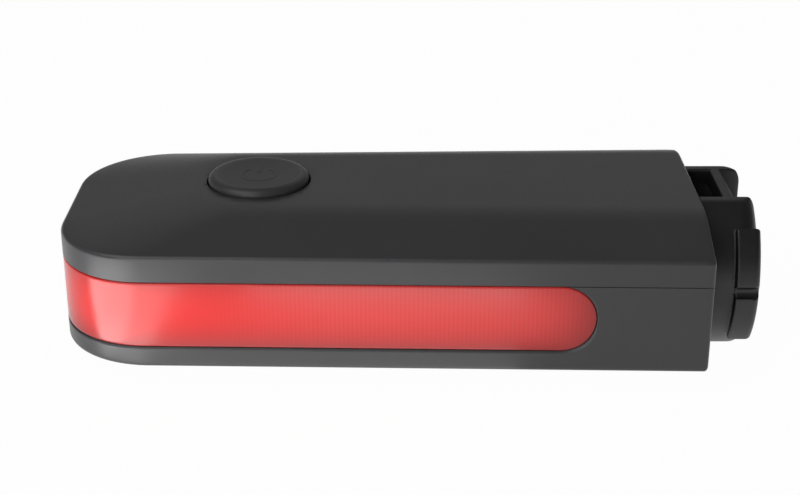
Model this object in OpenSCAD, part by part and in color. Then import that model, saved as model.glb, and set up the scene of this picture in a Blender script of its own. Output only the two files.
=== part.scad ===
// Bicycle rear light with a wrap-around red lens and a quarter-turn mount.
// Millimetres. X runs along the light, +X out of the mount; +Z is up, the button side.
// The origin is on the twist axis, at the outer face of the mount.

/* [Body] */
// Length of the body, without the mount
body_len = 90.5; // [84:0.5:110]
// Width of the body at its mount end
body_w = 44; // [42:0.5:50]
// Width that the tapering sides would have at the tail
tail_w = 39.8; // [38:0.2:43]
// Radius of the two tail corners, in plan
tail_r = 13; // [10:0.5:15]
// Height of the upright belt round the body
belt_h = 16.4; // [15:0.2:20]
// Height of the sloping facets above and below the belt
facet_rise = 3.5; // [2.8:0.1:4.4]
// Width of the flat plateau at the mount end
plateau_w = 24.8; // [23:0.2:27]
// Length of the sloping facet from the plateau's end to the tail
tail_facet = 18.5; // [16:0.5:24]
// Radius of the plateau's corners at the tail
plateau_r = 8; // [5:0.5:9]
// Thickness of the shells
wall = 2; // [1.6:0.1:2.2]
// Thickness of the wall behind the mount
end_wall = 2.2; // [2:0.1:2.8]
// Height of the joint between cover and lower shell, above the axis
split_z = 4.5; // [4:0.1:5]

/* [Lens] */
// Height of the lens window
lens_h = 9.8; // [8.6:0.1:10.4]
// Distance from the mount end to the round end of the lens
lens_end = 15.6; // [12:0.2:22]
// Thickness of the part of the lens that fills the window
lens_skin = 1.2; // [0.8:0.1:1.4]
// Width of the lens flange behind the window's edge
lens_lip = 1; // [0.6:0.1:1.2]
// Clearance round the lens
lens_gap = 0.08; // [0.04:0.02:0.16]
// Depth of the lens behind the inside of the wall
lens_back = 0.1; // [0.06:0.02:0.2]
// Clearance between lens and light guide
guide_gap = 0.3; // [0.2:0.05:0.5]
// Room between the top of the light guide and the joint of the shells
guide_room = 1.2; // [0.8:0.1:1.6]
// Thickness of the light guide
guide_t = 1.6; // [1.4:0.1:1.9]
// Distance from one flute of the light guide to the next
flute_pitch = 0.6; // [0.5:0.05:1.2]
// Depth of the flutes
flute_depth = 0.3; // [0.15:0.05:0.4]

/* [Button] */
// Diameter of the button where it meets the plateau
button_d = 14.6; // [12:0.2:16]
// Diameter of the button's top
button_top_d = 12; // [9:0.2:12.4]
// Height of the button above the plateau
button_rise = 1.1; // [0.8:0.1:1.6]
// Depth of the dish in the button's top
button_dish = 0.25; // [0.1:0.05:0.4]
// Distance from the button's flange to the plateau's end
button_edge = 0.3; // [0.2:0.1:3]
// Travel of the button
button_travel = 0.4; // [0.2:0.05:0.5]
// Clearance round the button
button_gap = 0.2; // [0.1:0.05:0.3]
// Width of the button's flange under the cover
button_flange_w = 1.4; // [1:0.1:1.8]
// Thickness of the button's flange
button_flange_t = 1; // [0.8:0.1:1.4]
// Thickness of the gasket over the flange
button_gasket_t = 0.3; // [0.2:0.05:0.5]

/* [Mount] */
// Length of the quarter-turn mount
mount_len = 8; // [7.6:0.1:10]
// Diameter of the round boss
boss_d = 26.4; // [25:0.1:28]
// Height of the boss across its two flats
boss_flats = 22.4; // [21:0.1:22.8]
// Diameter over the two locking tabs
tab_d = 28.4; // [27.6:0.1:31]
// Thickness of a locking tab
tab_t = 3.4; // [2.4:0.1:3.8]
// Angle that a locking tab covers
tab_angle = 76; // [60:1:80]
// Diameter of the detent groove in each tab
detent_d = 1.8; // [1.2:0.1:2.4]
// Round on the outer rim of the boss
boss_round = 2.6; // [1:0.1:2.8]
// Round on the outer rim of the tabs
tab_round = 0.9; // [0.4:0.1:1.2]
// Width of the tether slot in the top of the boss
slot_w = 10.6; // [8:0.2:11.4]
// Length of the tether slot, from the body to the bar
slot_len = 3.45; // [2.8:0.05:3.8]
// Depth of the tether slot
slot_depth = 6.2; // [5:0.1:6.6]
// Thickness of the tether bar
bar_t = 1.55; // [1.2:0.05:2]
// Height of the tether bar
bar_h = 2.8; // [2:0.1:3.4]

/* [Board and battery] */
// Thickness of the circuit board
board_t = 1; // [0.8:0.1:1.4]
// Clearance between the light guide and the LEDs
led_gap = 0.6; // [0.3:0.1:1]
// How far an LED stands out past the edge of the board
led_over = 0.2; // [0:0.05:0.4]
// Height of an LED
led_h = 1.6; // [1.2:0.1:2]
// Depth of an LED
led_depth = 1.4; // [1:0.1:1.6]
// Length of an LED
led_len = 3; // [2.4:0.1:3.6]
// Number of LEDs along each side
side_leds = 7; // [3:1:8]
// Number of LEDs across the tail
tail_leds = 2; // [1:1:3]
// Side of the square switch
switch_w = 6; // [5:0.1:7]
// Height of the switch
switch_h = 3.5; // [3:0.1:4.2]
// Diameter of the switch plunger
plunger_d = 3.4; // [3:0.1:4]
// Height of the plunger above the switch
plunger_rise = 2.2; // [1.6:0.1:2.6]
// Length of the plunger inside the switch
plunger_in = 1; // [0.8:0.1:1.4]
// Width of the battery cell
cell_w = 23; // [20:0.5:24]
// Thickness of the battery cell
cell_t = 5.6; // [5:0.1:5.8]
// Thickness of the foam pad under the cell
pad_t = 1.1; // [0.9:0.1:1.2]
// Clearance between the cell, the ribs at its ends and the rear posts
cell_gap = 0.3; // [0.2:0.05:0.4]
// Thickness of the ribs at the ends of the cell
rib_t = 1.2; // [1:0.1:1.6]
// Distance from the port to the cell, for the leads
cell_room = 5.2; // [5:0.1:6]
// Diameter of a battery lead
lead_d = 1; // [0.8:0.1:1.2]
// Distance between the two battery leads
lead_pitch = 5; // [3:0.5:8]
// Side of the controller chip, which sets the scale of the other chips
chip_w = 7; // [5:0.5:8]

/* [Charging port] */
// Distance from the mount end to the centre of the port
port_pos = 14; // [13.5:0.1:15]
// Width of the charging socket
socket_w = 8.94; // [8.8:0.02:9.2]
// Height of the charging socket
socket_h = 3.2; // [3:0.05:3.4]
// Depth of the charging socket
socket_depth = 5; // [4.5:0.1:5.4]
// Thickness of the socket's steel shell
socket_wall = 0.3; // [0.2:0.05:0.4]
// Clearance of the slot in the shell round the socket's outline
plug_gap = 0.3; // [0.2:0.05:0.4]
// How much smaller than the socket's outline the flap's plug is, on each side
plug_in = 0.2; // [0.2:0.05:0.4]
// Length of the flap
flap_len = 7.9; // [7.5:0.1:8.4]
// Width of the flap
flap_w = 13.2; // [12:0.2:14]
// Thickness of the flap
flap_t = 1.15; // [0.9:0.05:1.2]
// Clearance round the flap
flap_gap = 0.25; // [0.2:0.05:0.4]
// Corner radius of the flap
flap_r = 1.5; // [1:0.1:2]
// Depth of the flap's outer face below the plateau
flap_recess = 0.1; // [0.05:0.05:0.2]
// Distance from the flap's plate to the line that it swings about
hinge_in = 1; // [0.9:0.1:1.2]
// Length of the flap's anchor
anchor_len = 3; // [2.4:0.1:3.2]
// Width of the flap's anchor
anchor_w = 7; // [5:0.2:8]
// Diameter of the anchor's stem
anchor_stem_d = 2.4; // [2:0.1:2.6]

/* [Fasteners] */
// Diameter of a screw's shank
screw_d = 2; // [1.8:0.1:2.2]
// Diameter of a screw's head
head_d = 4.2; // [3.8:0.1:4.4]
// Height of a screw's head
head_h = 1.6; // [1.2:0.1:1.8]
// Width of the key recess in a screw's head
key_d = 2.3; // [1.8:0.1:2.6]
// Depth of the key recess
key_depth = 0.9; // [0.6:0.1:1]
// Clearance round a screw
screw_gap = 0.05; // [0.04:0.01:0.1]
// Clearance round a screw's head
head_gap = 0.2; // [0.15:0.05:0.3]
// Depth of a mount screw's head below the outer face
mount_head_depth = 1.4; // [1:0.1:1.8]
// Depth of a case screw's head below the under side
case_head_depth = 1.7; // [1.4:0.1:1.8]
// Distance from a screw's tip to the end of its insert
tip_gap = 0.3; // [0.2:0.05:0.5]
// Room in front of an insert
insert_room = 0.4; // [0.2:0.1:0.6]
// Diameter of a brass insert
insert_d = 3.4; // [3.2:0.1:3.8]
// Length of a brass insert
insert_len = 3.4; // [3:0.1:3.6]
// Diameter of a screw post
post_d = 5.6; // [5.4:0.1:6]
// Distance from the mount end to the front posts
front_post = 7.5; // [7.3:0.1:8]
// Distance from the tail to the rear posts
rear_post = 15.5; // [14:0.1:16]
// Half the distance between two front posts
front_post_y = 8.6; // [8.4:0.1:9]
// Half the distance between two rear posts
rear_post_y = 8; // [7:0.1:8.5]
// Distance of the two upper mount screws from the middle
mount_screw_y = 8.2; // [7.8:0.1:8.6]
// Depth of the two upper mount screws below the axis
mount_screw_z = 4; // [3:0.1:4.4]
// Depth of the lower mount screw below the axis
low_screw_z = 7.6; // [7.2:0.1:7.8]

/* [Hidden] */
$fn = 64;

// A cut reaches this far past the face that it opens
past = 1;
// Thickness of the flat end plates that the facets are drawn between
skin = 0.05;

// Places along X
end_x = -mount_len;
tail_x = end_x - body_len;
lens_end_x = end_x - lens_end;
plateau_x = tail_x + tail_facet;
button_x = plateau_x + button_edge + button_flange_w + button_d / 2;
port_x = end_x - port_pos;

// Taper of one side, and the slope of the facets
taper = (body_w - tail_w) / 2 / body_len;
side_a = atan(taper);
facet_a = atan(facet_rise / ((body_w - plateau_w) / 2));

// Heights
belt_z = belt_h / 2;
top_z = belt_z + facet_rise;
ceiling_z = top_z - wall;
lens_r = lens_h / 2;
lens_z = split_z - lens_r;
lens_x = lens_end_x - lens_r;
board_top = lens_z - led_h / 2;
board_low = board_top - board_t;
switch_top = board_top + switch_h;
plunger_top = switch_top + plunger_rise;
flange_top = ceiling_z - button_gasket_t;
cell_low = pad_t - ceiling_z;
head_seat = head_h - top_z + case_head_depth;
flap_low = flap_recess - top_z;
flap_floor = flap_low + flap_t + flap_recess / 2;

// How far in from the outline each layer behind the wall lies
guide_in = wall + guide_gap;
lens_in = wall - lens_back;
board_in = guide_in + guide_t + led_gap + led_over;

// Ledge that carries the light guide, just above the foot of the window
ledge_rise = 0.4;
ledge_h = 2.5;
ledge_z = lens_z - lens_r + ledge_rise;

// Seal in the joint between cover and lower shell
seal_in = 0.65;
seal_w = 0.7;
seal_h = 0.6;

// Flap and cell, placed from the port
flap_end_x = port_x + flap_len / 2;
anchor_x = flap_end_x + flap_gap;
stem_x = anchor_x + anchor_len / 2;
cell_front_x = port_x - socket_h / 2 - cell_room;
cell_len = cell_front_x - (tail_x + rear_post + post_d / 2 + rib_t + 2 * cell_gap);
cell_x = cell_front_x - cell_len / 2;
mouth_in = 0.1;
mouth_z = mouth_in - ceiling_z;
plug_r = socket_h / 2 - 2 * plug_in;
guard_t = 0.8;

// Posts: [x, y] of each, for one side
posts = [
    [end_x - front_post, front_post_y],
    [tail_x + rear_post, rear_post_y]
];
mount_screw_yz = [
    [-mount_screw_y, -mount_screw_z],
    [mount_screw_y, -mount_screw_z],
    [0, -low_screw_z]
];

// Outline with the body's taper and two round tail corners, drawn in by inset and cut off at front
module tapered_outline(half_w, x_tail, r, inset = 0, front = 0) {
    cx = x_tail + r;
    cy = half_w - taper * (end_x - cx) - r / cos(side_a);
    ri = r - inset;
    side = [cx - ri * sin(side_a), cy + ri * cos(side_a)];
    xf = end_x - front;
    yf = side.y + taper * (xf - side.x);
    xt = x_tail + inset;
    polygon([[xf, yf], side, [xt, cy], [xt, -cy], [side.x, -side.y], [xf, -yf]]);
    for (s = [-1, 1])
        translate([cx, s * cy])
            circle(r = ri);
}

module plan(inset = 0, front = 0) {
    tapered_outline(body_w / 2, tail_x, tail_r, inset, front);
}

module plateau(inset = 0, front = 0) {
    tapered_outline(plateau_w / 2, plateau_x, plateau_r, inset, front);
}

// Upper half of the body above rim_z: an upright belt with facets that rise to the plateau
module half_form(rim_z, inset = 0, front = 0) {
    edge_z = belt_z - inset * tan((90 - facet_a) / 2);
    hull() {
        translate([0, 0, rim_z])
            linear_extrude(edge_z - rim_z)
                plan(inset, front);
        translate([0, 0, top_z - inset - skin])
            linear_extrude(skin)
                plateau(inset * tan(facet_a / 2), front);
    }
}

module cover_form() {
    half_form(split_z);
}

module shell_form() {
    mirror([0, 0, 1])
        half_form(-split_z);
}

// Band between two insets of the outline
module band(inset_out, inset_in, z_low, z_high, front = 0) {
    translate([0, 0, z_low])
        linear_extrude(z_high - z_low)
            difference() {
                plan(inset_out, front);
                plan(inset_in, front + inset_in - inset_out);
            }
}

// Side view of the window: open towards the tail, round at the mount end
module window_prism(grow) {
    rotate([90, 0, 0])
        linear_extrude(body_w + 2 * past, center = true) {
            translate([lens_x, lens_z])
                circle(r = lens_r + grow);
            translate([tail_x - past, lens_z - lens_r - grow])
                square([lens_x - tail_x + past, lens_h + 2 * grow]);
        }
}

// Opening above the window, up through the rim of the lower shell
module rim_opening() {
    cusp = lens_r / 6;
    translate([tail_x - past, -body_w / 2 - past, lens_z])
        cube([lens_x + cusp - tail_x + past, body_w + 2 * past, lens_r + past]);
}

module at_posts() {
    for (p = posts, s = [-1, 1])
        translate([p.x, s * p.y, 0])
            children();
}

// Children lie along +Z and are turned to run along -X from the plane x
module at_mount_screws(x) {
    for (p = mount_screw_yz)
        translate([x, p.x, p.y])
            rotate([0, -90, 0])
                children();
}

module slab(size, r) {
    linear_extrude(size.z)
        rounded_square([size.x, size.y], r);
}

module rounded_square(size, r) {
    square([size.x - 2 * r, size.y], center = true);
    square([size.x, size.y - 2 * r], center = true);
    for (sx = [-1, 1], sy = [-1, 1])
        translate([sx * (size.x / 2 - r), sy * (size.y / 2 - r)])
            circle(r = r);
}

module top_cover() {
    color("#3b3b3c")
        difference() {
            union() {
                difference() {
                    cover_form();
                    half_form(split_z - past, wall, end_wall);
                }
                intersection() {
                    cover_form();
                    at_posts()
                        translate([0, 0, split_z])
                            cylinder(d = post_d, h = top_z);
                }
                at_posts()
                    translate([0, 0, board_top])
                        cylinder(d = post_d, h = split_z - board_top + skin);
            }
            translate([button_x, 0, ceiling_z - past])
                cylinder(d = button_d + 2 * button_gap, h = wall + 2 * past);
            band(seal_in - skin, seal_in + seal_w + skin, split_z - past, split_z + seal_h, seal_in);
            at_posts()
                translate([0, 0, board_top - past])
                    cylinder(d = insert_d, h = insert_len + past);
        }
}

module lower_shell() {
    color("#3f3e40")
        difference() {
            union() {
                difference() {
                    shell_form();
                    mirror([0, 0, 1])
                        half_form(-split_z - past, wall, end_wall);
                    intersection() {
                        band(-past, wall + past, -belt_z, split_z + past, -past);
                        union() {
                            window_prism(0);
                            rim_opening();
                        }
                    }
                    intersection() {
                        band(lens_skin, wall + past, -belt_z, split_z + past, lens_skin);
                        window_prism(lens_lip);
                    }
                }
                intersection() {
                    shell_form();
                    union() {
                        at_posts()
                            translate([0, 0, -top_z])
                                cylinder(d = post_d, h = board_low + top_z);
                        cell_ribs();
                    }
                }
                intersection() {
                    band(wall - skin, board_in, ledge_z - ledge_h, ledge_z, end_wall);
                    window_prism(lens_lip + ledge_h);
                }
                at_mount_screws(end_x - end_wall + skin)
                    cylinder(d = post_d, h = insert_len - end_wall + 2 * insert_room);
            }
            at_posts() {
                translate([0, 0, -top_z - past])
                    cylinder(d = screw_d + 2 * screw_gap, h = 2 * top_z);
                translate([0, 0, -top_z - past])
                    cylinder(d = head_d + 2 * head_gap, h = head_seat + top_z + past);
            }
            at_mount_screws(end_x + past)
                cylinder(d = insert_d, h = insert_len + insert_room + past);
            flap_pocket();
            translate([port_x, 0, -top_z])
                slab([socket_h + 2 * plug_gap, socket_w + 2 * plug_gap, wall + past], plug_r + plug_gap);
            translate([stem_x, 0, -top_z])
                cylinder(d = anchor_stem_d + 2 * screw_gap, h = wall + past);
        }
}

// Ribs on the floor that hold the two ends of the cell
module cell_ribs() {
    rib_h = 3;
    for (s = [-1, 1])
        translate([cell_x + s * (cell_len / 2 + cell_gap + rib_t / 2), 0, -top_z])
            translate([-rib_t / 2, -cell_w / 3, 0])
                cube([rib_t, cell_w * 2 / 3, wall + rib_h]);
}

module cover_seal() {
    color("#26282a")
        band(seal_in, seal_in + seal_w, split_z, split_z + seal_h - skin, seal_in);
}

module outer_lens() {
    color("#d8262b", 0.85)
        union() {
            intersection() {
                band(0, lens_in, -belt_z, split_z - skin);
                window_prism(-lens_gap);
            }
            intersection() {
                band(lens_skin + lens_gap, lens_in, -belt_z, split_z - skin);
                window_prism(lens_lip - lens_gap);
            }
        }
}

// Point at distance s along the light guide's path, which lies in by inset: along the near
// side from x_start, round the tail and back along the far side
function guide_point(s, inset, x_start) =
    let (
        r = tail_r - inset,
        cx = tail_x + tail_r,
        cy = body_w / 2 - taper * (end_x - cx) - tail_r / cos(side_a),
        turn = 90 - side_a,
        side_len = (x_start - cx + r * sin(side_a)) / cos(side_a),
        arc_len = r * turn * PI / 180,
        half = side_len + arc_len + cy,
        m = s > half ? 2 * half - s : s,
        flip = s > half ? 1 : -1,
        p = m < side_len ?
                [x_start - m * cos(side_a), cy + r * cos(side_a) + (side_len - m) * sin(side_a), 90 + side_a] :
            m < side_len + arc_len ?
                let (a = 90 + side_a + (m - side_len) / r * 180 / PI)
                    [cx + r * cos(a), cy + r * sin(a), a] :
                [tail_x + inset, half - m, 180]
    )
    [p.x, flip * p.y, p.z, flip];

function guide_length(inset, x_start) =
    let (
        r = tail_r - inset,
        cx = tail_x + tail_r,
        cy = body_w / 2 - taper * (end_x - cx) - tail_r / cos(side_a)
    )
    2 * ((x_start - cx + r * sin(side_a)) / cos(side_a) + r * (90 - side_a) * PI / 180 + cy);

// Outer edge of the light guide: a row of shallow V flutes
function fluted_edge(inset, x_start) =
    let (
        n = 2 * round(guide_length(inset, x_start) / flute_pitch),
        step = guide_length(inset, x_start) / n
    )
    [for (i = [0 : n])
        let (p = guide_point(i * step, inset, x_start), d = i % 2 == 0 ? 0 : flute_depth)
            [p.x - d * cos(p.z), p.y - d * sin(p.z) * p[3]]];

module light_guide() {
    inner = guide_in + guide_t;
    color("#f3dcda", 0.8)
        intersection() {
            translate([0, 0, ledge_z])
                linear_extrude(split_z - guide_room - ledge_z)
                    difference() {
                        polygon(fluted_edge(guide_in, lens_end_x));
                        plan(inner, lens_end - past);
                    }
            window_prism(-lens_gap);
        }
}

module button() {
    r = button_d / 2;
    rt = button_top_d / 2;
    rise = top_z + button_rise;
    foot = flange_top - button_flange_t;
    stem_edge = 0.6;
    stem_r = plunger_d / 2 + stem_edge;
    foot_rise = 0.15;
    bend_h = button_rise - foot_rise;
    bend = [for (a = [0 : 15 : 90])
        [rt + (r - rt) * cos(a), rise - bend_h * (1 - sin(a))]];
    dish_edge = 1.2;
    dish_steps = 3;
    dish = [for (i = [dish_steps : -1 : 0])
        let (share = i / dish_steps)
            [(rt - dish_edge) * share, rise - button_dish * (1 - pow(share, 2))]];
    color("#353536")
        translate([button_x, 0, 0])
            rotate_extrude()
                polygon(concat(
                    [[0, plunger_top], [stem_r, plunger_top], [stem_r, foot]],
                    [[r + button_flange_w, foot], [r + button_flange_w, flange_top], [r, flange_top]],
                    bend,
                    dish
                ));
}

module button_gasket() {
    r = button_d / 2;
    gasket_in = 0.1;
    color("#1f2022")
        translate([button_x, 0, flange_top])
            difference() {
                cylinder(r = r + button_flange_w - gasket_in, h = button_gasket_t);
                translate([0, 0, -past])
                    cylinder(r = r + button_gap + gasket_in, h = button_gasket_t + 2 * past);
            }
}

module switch_plunger() {
    color("#1b1b1c")
        translate([button_x, 0, switch_top - plunger_in])
            cylinder(d = plunger_d, h = plunger_rise + plunger_in);
}

module switch_body() {
    corner = 0.5;
    color("#b9bcc0")
        translate([button_x, 0, board_top])
            difference() {
                slab([switch_w, switch_w, switch_h], corner);
                translate([0, 0, switch_h - plunger_in - button_travel - button_gap])
                    cylinder(d = plunger_d + 2 * screw_gap, h = plunger_in + switch_h);
            }
}

module main_board() {
    color("#17492f")
        translate([0, 0, board_low])
            difference() {
                linear_extrude(board_t)
                    plan(board_in, end_wall + insert_len);
                translate([0, 0, -past])
                    at_posts()
                        cylinder(d = screw_d + 2 * head_gap, h = board_t + 2 * past);
            }
}

// One row along each side and one across the tail, facing outwards
module leds() {
    face_in = board_in - led_over;
    first = lens_x - led_len;
    last = tail_x + tail_r + led_len / 2;
    color("#f4f1e6")
        translate([0, 0, board_top]) {
            for (i = [0 : side_leds - 1], s = [-1, 1]) {
                x = first + (last - first) * i / (side_leds - 1);
                y = body_w / 2 - taper * (end_x - x) - face_in - led_depth / 2;
                translate([x, s * y, 0])
                    rotate(s * side_a)
                        led();
            }
            for (i = [0 : tail_leds - 1])
                translate([tail_x + face_in + led_depth / 2, (i - (tail_leds - 1) / 2) * led_len * 2, 0])
                    rotate(90)
                        led();
        }
}

module led() {
    translate([-led_len / 2, -led_depth / 2, 0])
        cube([led_len, led_depth, led_h]);
}

// Chips on the upper side of the board, in sevenths of the controller's side:
// [distance from the mount end, y, length, width, height]
module board_chips() {
    unit = chip_w / 7;
    chips = [
        [24, 0, 7, 7, 1],
        [36, 6, 5, 4, 1.2],
        [36, -6, 4, 4, 2.4],
        [47, 0, 3, 3, 0.9],
        [49, 7, 2, 1.2, 0.8],
        [49, -7, 2, 1.2, 0.8]
    ];
    color("#1a1b1d")
        for (c = chips * unit)
            translate([end_x - c[0], c[1], board_top])
                slab([c[2], c[3], c[4]], unit / 5);
}

module battery_cell() {
    corner = 1.5;
    color("#9aa0a6")
        translate([cell_x, 0, cell_low])
            slab([cell_len, cell_w, cell_t], corner);
}

module cell_guard_board() {
    guard_w = 16;
    guard_h = 3.6;
    color("#1d5a3a")
        translate([cell_front_x, -guard_w / 2, cell_low + cell_t - guard_h])
            cube([guard_t, guard_w, guard_h]);
}

// The pad lies on the flat of the floor, so it ends where the plateau does
module battery_pad() {
    edge = 2;
    front = cell_front_x - edge;
    back = max(cell_x - cell_len / 2, plateau_x) + edge;
    color("#2c2d30")
        translate([(front + back) / 2, 0, -ceiling_z])
            slab([front - back, cell_w - 4 * edge, pad_t], edge / 2);
}

// Two leads: out of the guard board, round a quarter bend and up to the circuit board
module battery_leads() {
    bend_r = 1.2;
    straight = 1;
    start = cell_front_x + guard_t;
    run_z = board_low - bend_r - lead_d / 2;
    colours = ["#b3201f", "#161617"];
    for (i = [0, 1])
        color(colours[i])
            translate([start, (i - 0.5) * lead_pitch, run_z]) {
                rotate([0, 90, 0])
                    cylinder(d = lead_d, h = straight);
                translate([straight, 0, bend_r])
                    rotate([90, 0, 0])
                        rotate(-90)
                            rotate_extrude(angle = 90)
                                translate([bend_r, 0])
                                    circle(d = lead_d);
                translate([straight + bend_r, 0, bend_r])
                    cylinder(d = lead_d, h = board_low - run_z - bend_r);
            }
}

module usb_socket() {
    round_r = socket_h / 2 - socket_wall / 3;
    color("#c3c6c9")
        translate([port_x, 0, mouth_z])
            difference() {
                slab([socket_h, socket_w, board_low - mouth_z], round_r);
                translate([0, 0, -past])
                    slab(
                        [socket_h - 2 * socket_wall, socket_w - 2 * socket_wall, socket_depth + past],
                        round_r - socket_wall
                    );
            }
}

module usb_tongue() {
    tongue_t = 0.7;
    tongue_w = socket_w * 3 / 4;
    color("#101113")
        translate([port_x - tongue_t / 2, -tongue_w / 2, mouth_z + tongue_t])
            cube([tongue_t, tongue_w, socket_depth - tongue_t]);
}

// Recess for the flap, with a narrower bay for its anchor
module flap_pocket() {
    depth = flap_floor + top_z;
    bay_gap = 0.1;
    translate([0, 0, -top_z - past])
        linear_extrude(depth + past) {
            translate([port_x, 0])
                rounded_square([flap_len + 2 * flap_gap, flap_w + 2 * flap_gap], flap_r + flap_gap);
            translate([port_x, -anchor_w / 2 - bay_gap])
                square([anchor_x + anchor_len + bay_gap - port_x, anchor_w + 2 * bay_gap]);
        }
}

// Soft flap: a plate that lies in the recess, a strap with a round edge where it swings, and a
// plug that fills the slot behind it
module port_flap() {
    hinge_r = flap_t / 2;
    hinge_x = flap_len / 2 - hinge_r;
    color("#2a2b2d")
        translate([port_x, 0, flap_low]) {
            translate([-(hinge_r + hinge_in) / 2, 0, 0])
                slab([flap_len - hinge_r - hinge_in, flap_w, flap_t], flap_r);
            translate([0, -anchor_w / 2, 0])
                cube([hinge_x, anchor_w, flap_t]);
            translate([hinge_x, 0, hinge_r])
                rotate([90, 0, 0])
                    cylinder(r = hinge_r, h = anchor_w, center = true);
            slab([socket_h - 2 * plug_in, socket_w - 2 * plug_in, mouth_z - plug_in - flap_low], plug_r);
        }
}

module flap_anchor() {
    barb_h = 1.2;
    color("#2a2b2d") {
        translate([anchor_x, -anchor_w / 2, flap_low])
            cube([anchor_len, anchor_w, flap_floor - flap_low]);
        translate([stem_x, 0, flap_low])
            cylinder(d = anchor_stem_d, h = -ceiling_z - flap_low);
        translate([stem_x, 0, -ceiling_z])
            cylinder(d1 = anchor_stem_d + 1, d2 = anchor_stem_d, h = barb_h);
    }
}

module twist_mount() {
    slot_low = boss_flats / 2 - slot_depth;
    color("#1c1c1d")
        difference() {
            union() {
                intersection() {
                    rotate([0, -90, 0])
                        turning(boss_d / 2, mount_len, boss_round);
                    translate([end_x, -boss_d, -boss_flats / 2])
                        cube([mount_len, 2 * boss_d, boss_flats]);
                }
                for (s = [-1, 1])
                    tab(s);
            }
            translate([end_x - past, -slot_w / 2, slot_low])
                cube([slot_len + past, slot_w, boss_d]);
            translate([end_x + slot_len + bar_t, -slot_w / 2, slot_low])
                cube([mount_len, slot_w, boss_d]);
            translate([end_x, -slot_w / 2, slot_low])
                cube([mount_len, slot_w, slot_depth - bar_h]);
            at_mount_screws(past)
                cylinder(d = screw_d + 2 * screw_gap, h = mount_len + 2 * past);
            at_mount_screws(past)
                cylinder(d = head_d + 2 * head_gap, h = mount_head_depth + head_h + past);
        }
}

// A disc turned about its axis, from the outer face down, with a round on its outer rim
module turning(r, h, rim_r) {
    rotate_extrude($fn = 128)
        difference() {
            square([r, h]);
            difference() {
                translate([r - rim_r, -past])
                    square([rim_r + past, rim_r + past]);
                translate([r - rim_r, rim_r])
                    circle(r = rim_r);
            }
        }
}

// A locking tab: a sector of a thicker ring, with a detent groove in the middle of its rim
module tab(side) {
    reach = tab_d;
    half = tab_angle / 2;
    rotate([0, -90, 0])
        difference() {
            intersection() {
                turning(tab_d / 2, tab_t, tab_round);
                linear_extrude(tab_t)
                    polygon([
                        [0, 0],
                        [reach * sin(half), side * reach * cos(half)],
                        [-reach * sin(half), side * reach * cos(half)]
                    ]);
            }
            translate([0, side * tab_d / 2, -past])
                cylinder(d = detent_d, h = tab_t + 2 * past);
        }
}

module screw(shank) {
    cylinder(d = head_d, h = head_h);
    cylinder(d = screw_d, h = head_h + shank);
}

module socket_key() {
    cylinder(d = key_d, h = key_depth + skin, $fn = 6);
}

module mount_screws() {
    shank = mount_len - mount_head_depth - head_h + insert_len - tip_gap;
    color("#8d9094")
        at_mount_screws(-mount_head_depth)
            difference() {
                screw(shank);
                translate([0, 0, -skin])
                    socket_key();
            }
}

module insert_ring() {
    difference() {
        cylinder(d = insert_d, h = insert_len);
        translate([0, 0, -past])
            cylinder(d = screw_d + 2 * screw_gap, h = insert_len + 2 * past);
    }
}

module mount_inserts() {
    color("#c79a4a")
        at_mount_screws(end_x)
            insert_ring();
}

module case_screws() {
    shank = board_top + insert_len - tip_gap - head_seat;
    color("#8d9094")
        at_posts()
            translate([0, 0, head_seat - head_h])
                difference() {
                    screw(shank);
                    translate([0, 0, -skin])
                        socket_key();
                }
}

module case_inserts() {
    color("#c79a4a")
        at_posts()
            translate([0, 0, board_top])
                insert_ring();
}

top_cover();
lower_shell();
cover_seal();
outer_lens();
light_guide();
button();
button_gasket();
switch_plunger();
switch_body();
main_board();
leds();
board_chips();
battery_cell();
cell_guard_board();
battery_pad();
battery_leads();
usb_socket();
usb_tongue();
port_flap();
flap_anchor();
twist_mount();
mount_screws();
mount_inserts();
case_screws();
case_inserts();
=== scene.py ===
# %% [markdown]
# # Bicycle rear light
# The real light is a pair of dark moulded shells with a red lens that wraps round the tail, a round
# push button on top, a charging port under a soft flap and a black quarter-turn mount at one end.
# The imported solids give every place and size. This file gives the looks: smooth skins with soft
# edges, a finish for every piece, light and a camera.

import itertools

import bpy
import numpy as np
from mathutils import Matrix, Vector
from mathutils.geometry import delaunay_2d_cdt


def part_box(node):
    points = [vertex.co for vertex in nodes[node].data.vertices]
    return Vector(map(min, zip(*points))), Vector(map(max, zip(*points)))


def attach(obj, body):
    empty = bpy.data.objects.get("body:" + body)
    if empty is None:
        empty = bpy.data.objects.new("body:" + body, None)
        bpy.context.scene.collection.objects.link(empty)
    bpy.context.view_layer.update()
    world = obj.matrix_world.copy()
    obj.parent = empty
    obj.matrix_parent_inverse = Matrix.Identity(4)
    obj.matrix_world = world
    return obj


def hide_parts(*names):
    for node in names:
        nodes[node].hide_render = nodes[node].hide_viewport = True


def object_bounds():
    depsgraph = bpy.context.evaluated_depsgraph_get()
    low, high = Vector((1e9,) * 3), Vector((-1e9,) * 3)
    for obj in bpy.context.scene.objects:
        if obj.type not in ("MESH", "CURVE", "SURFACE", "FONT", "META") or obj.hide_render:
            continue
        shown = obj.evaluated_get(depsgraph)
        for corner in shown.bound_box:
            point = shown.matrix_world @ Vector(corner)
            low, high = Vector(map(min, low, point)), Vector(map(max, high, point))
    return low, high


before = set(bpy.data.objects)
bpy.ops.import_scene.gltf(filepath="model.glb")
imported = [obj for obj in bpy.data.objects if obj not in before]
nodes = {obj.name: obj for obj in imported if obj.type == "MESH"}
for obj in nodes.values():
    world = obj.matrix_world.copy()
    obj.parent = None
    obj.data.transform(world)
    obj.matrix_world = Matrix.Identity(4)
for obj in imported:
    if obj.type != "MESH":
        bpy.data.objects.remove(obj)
cad_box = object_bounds()
MM = 0.001
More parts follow.
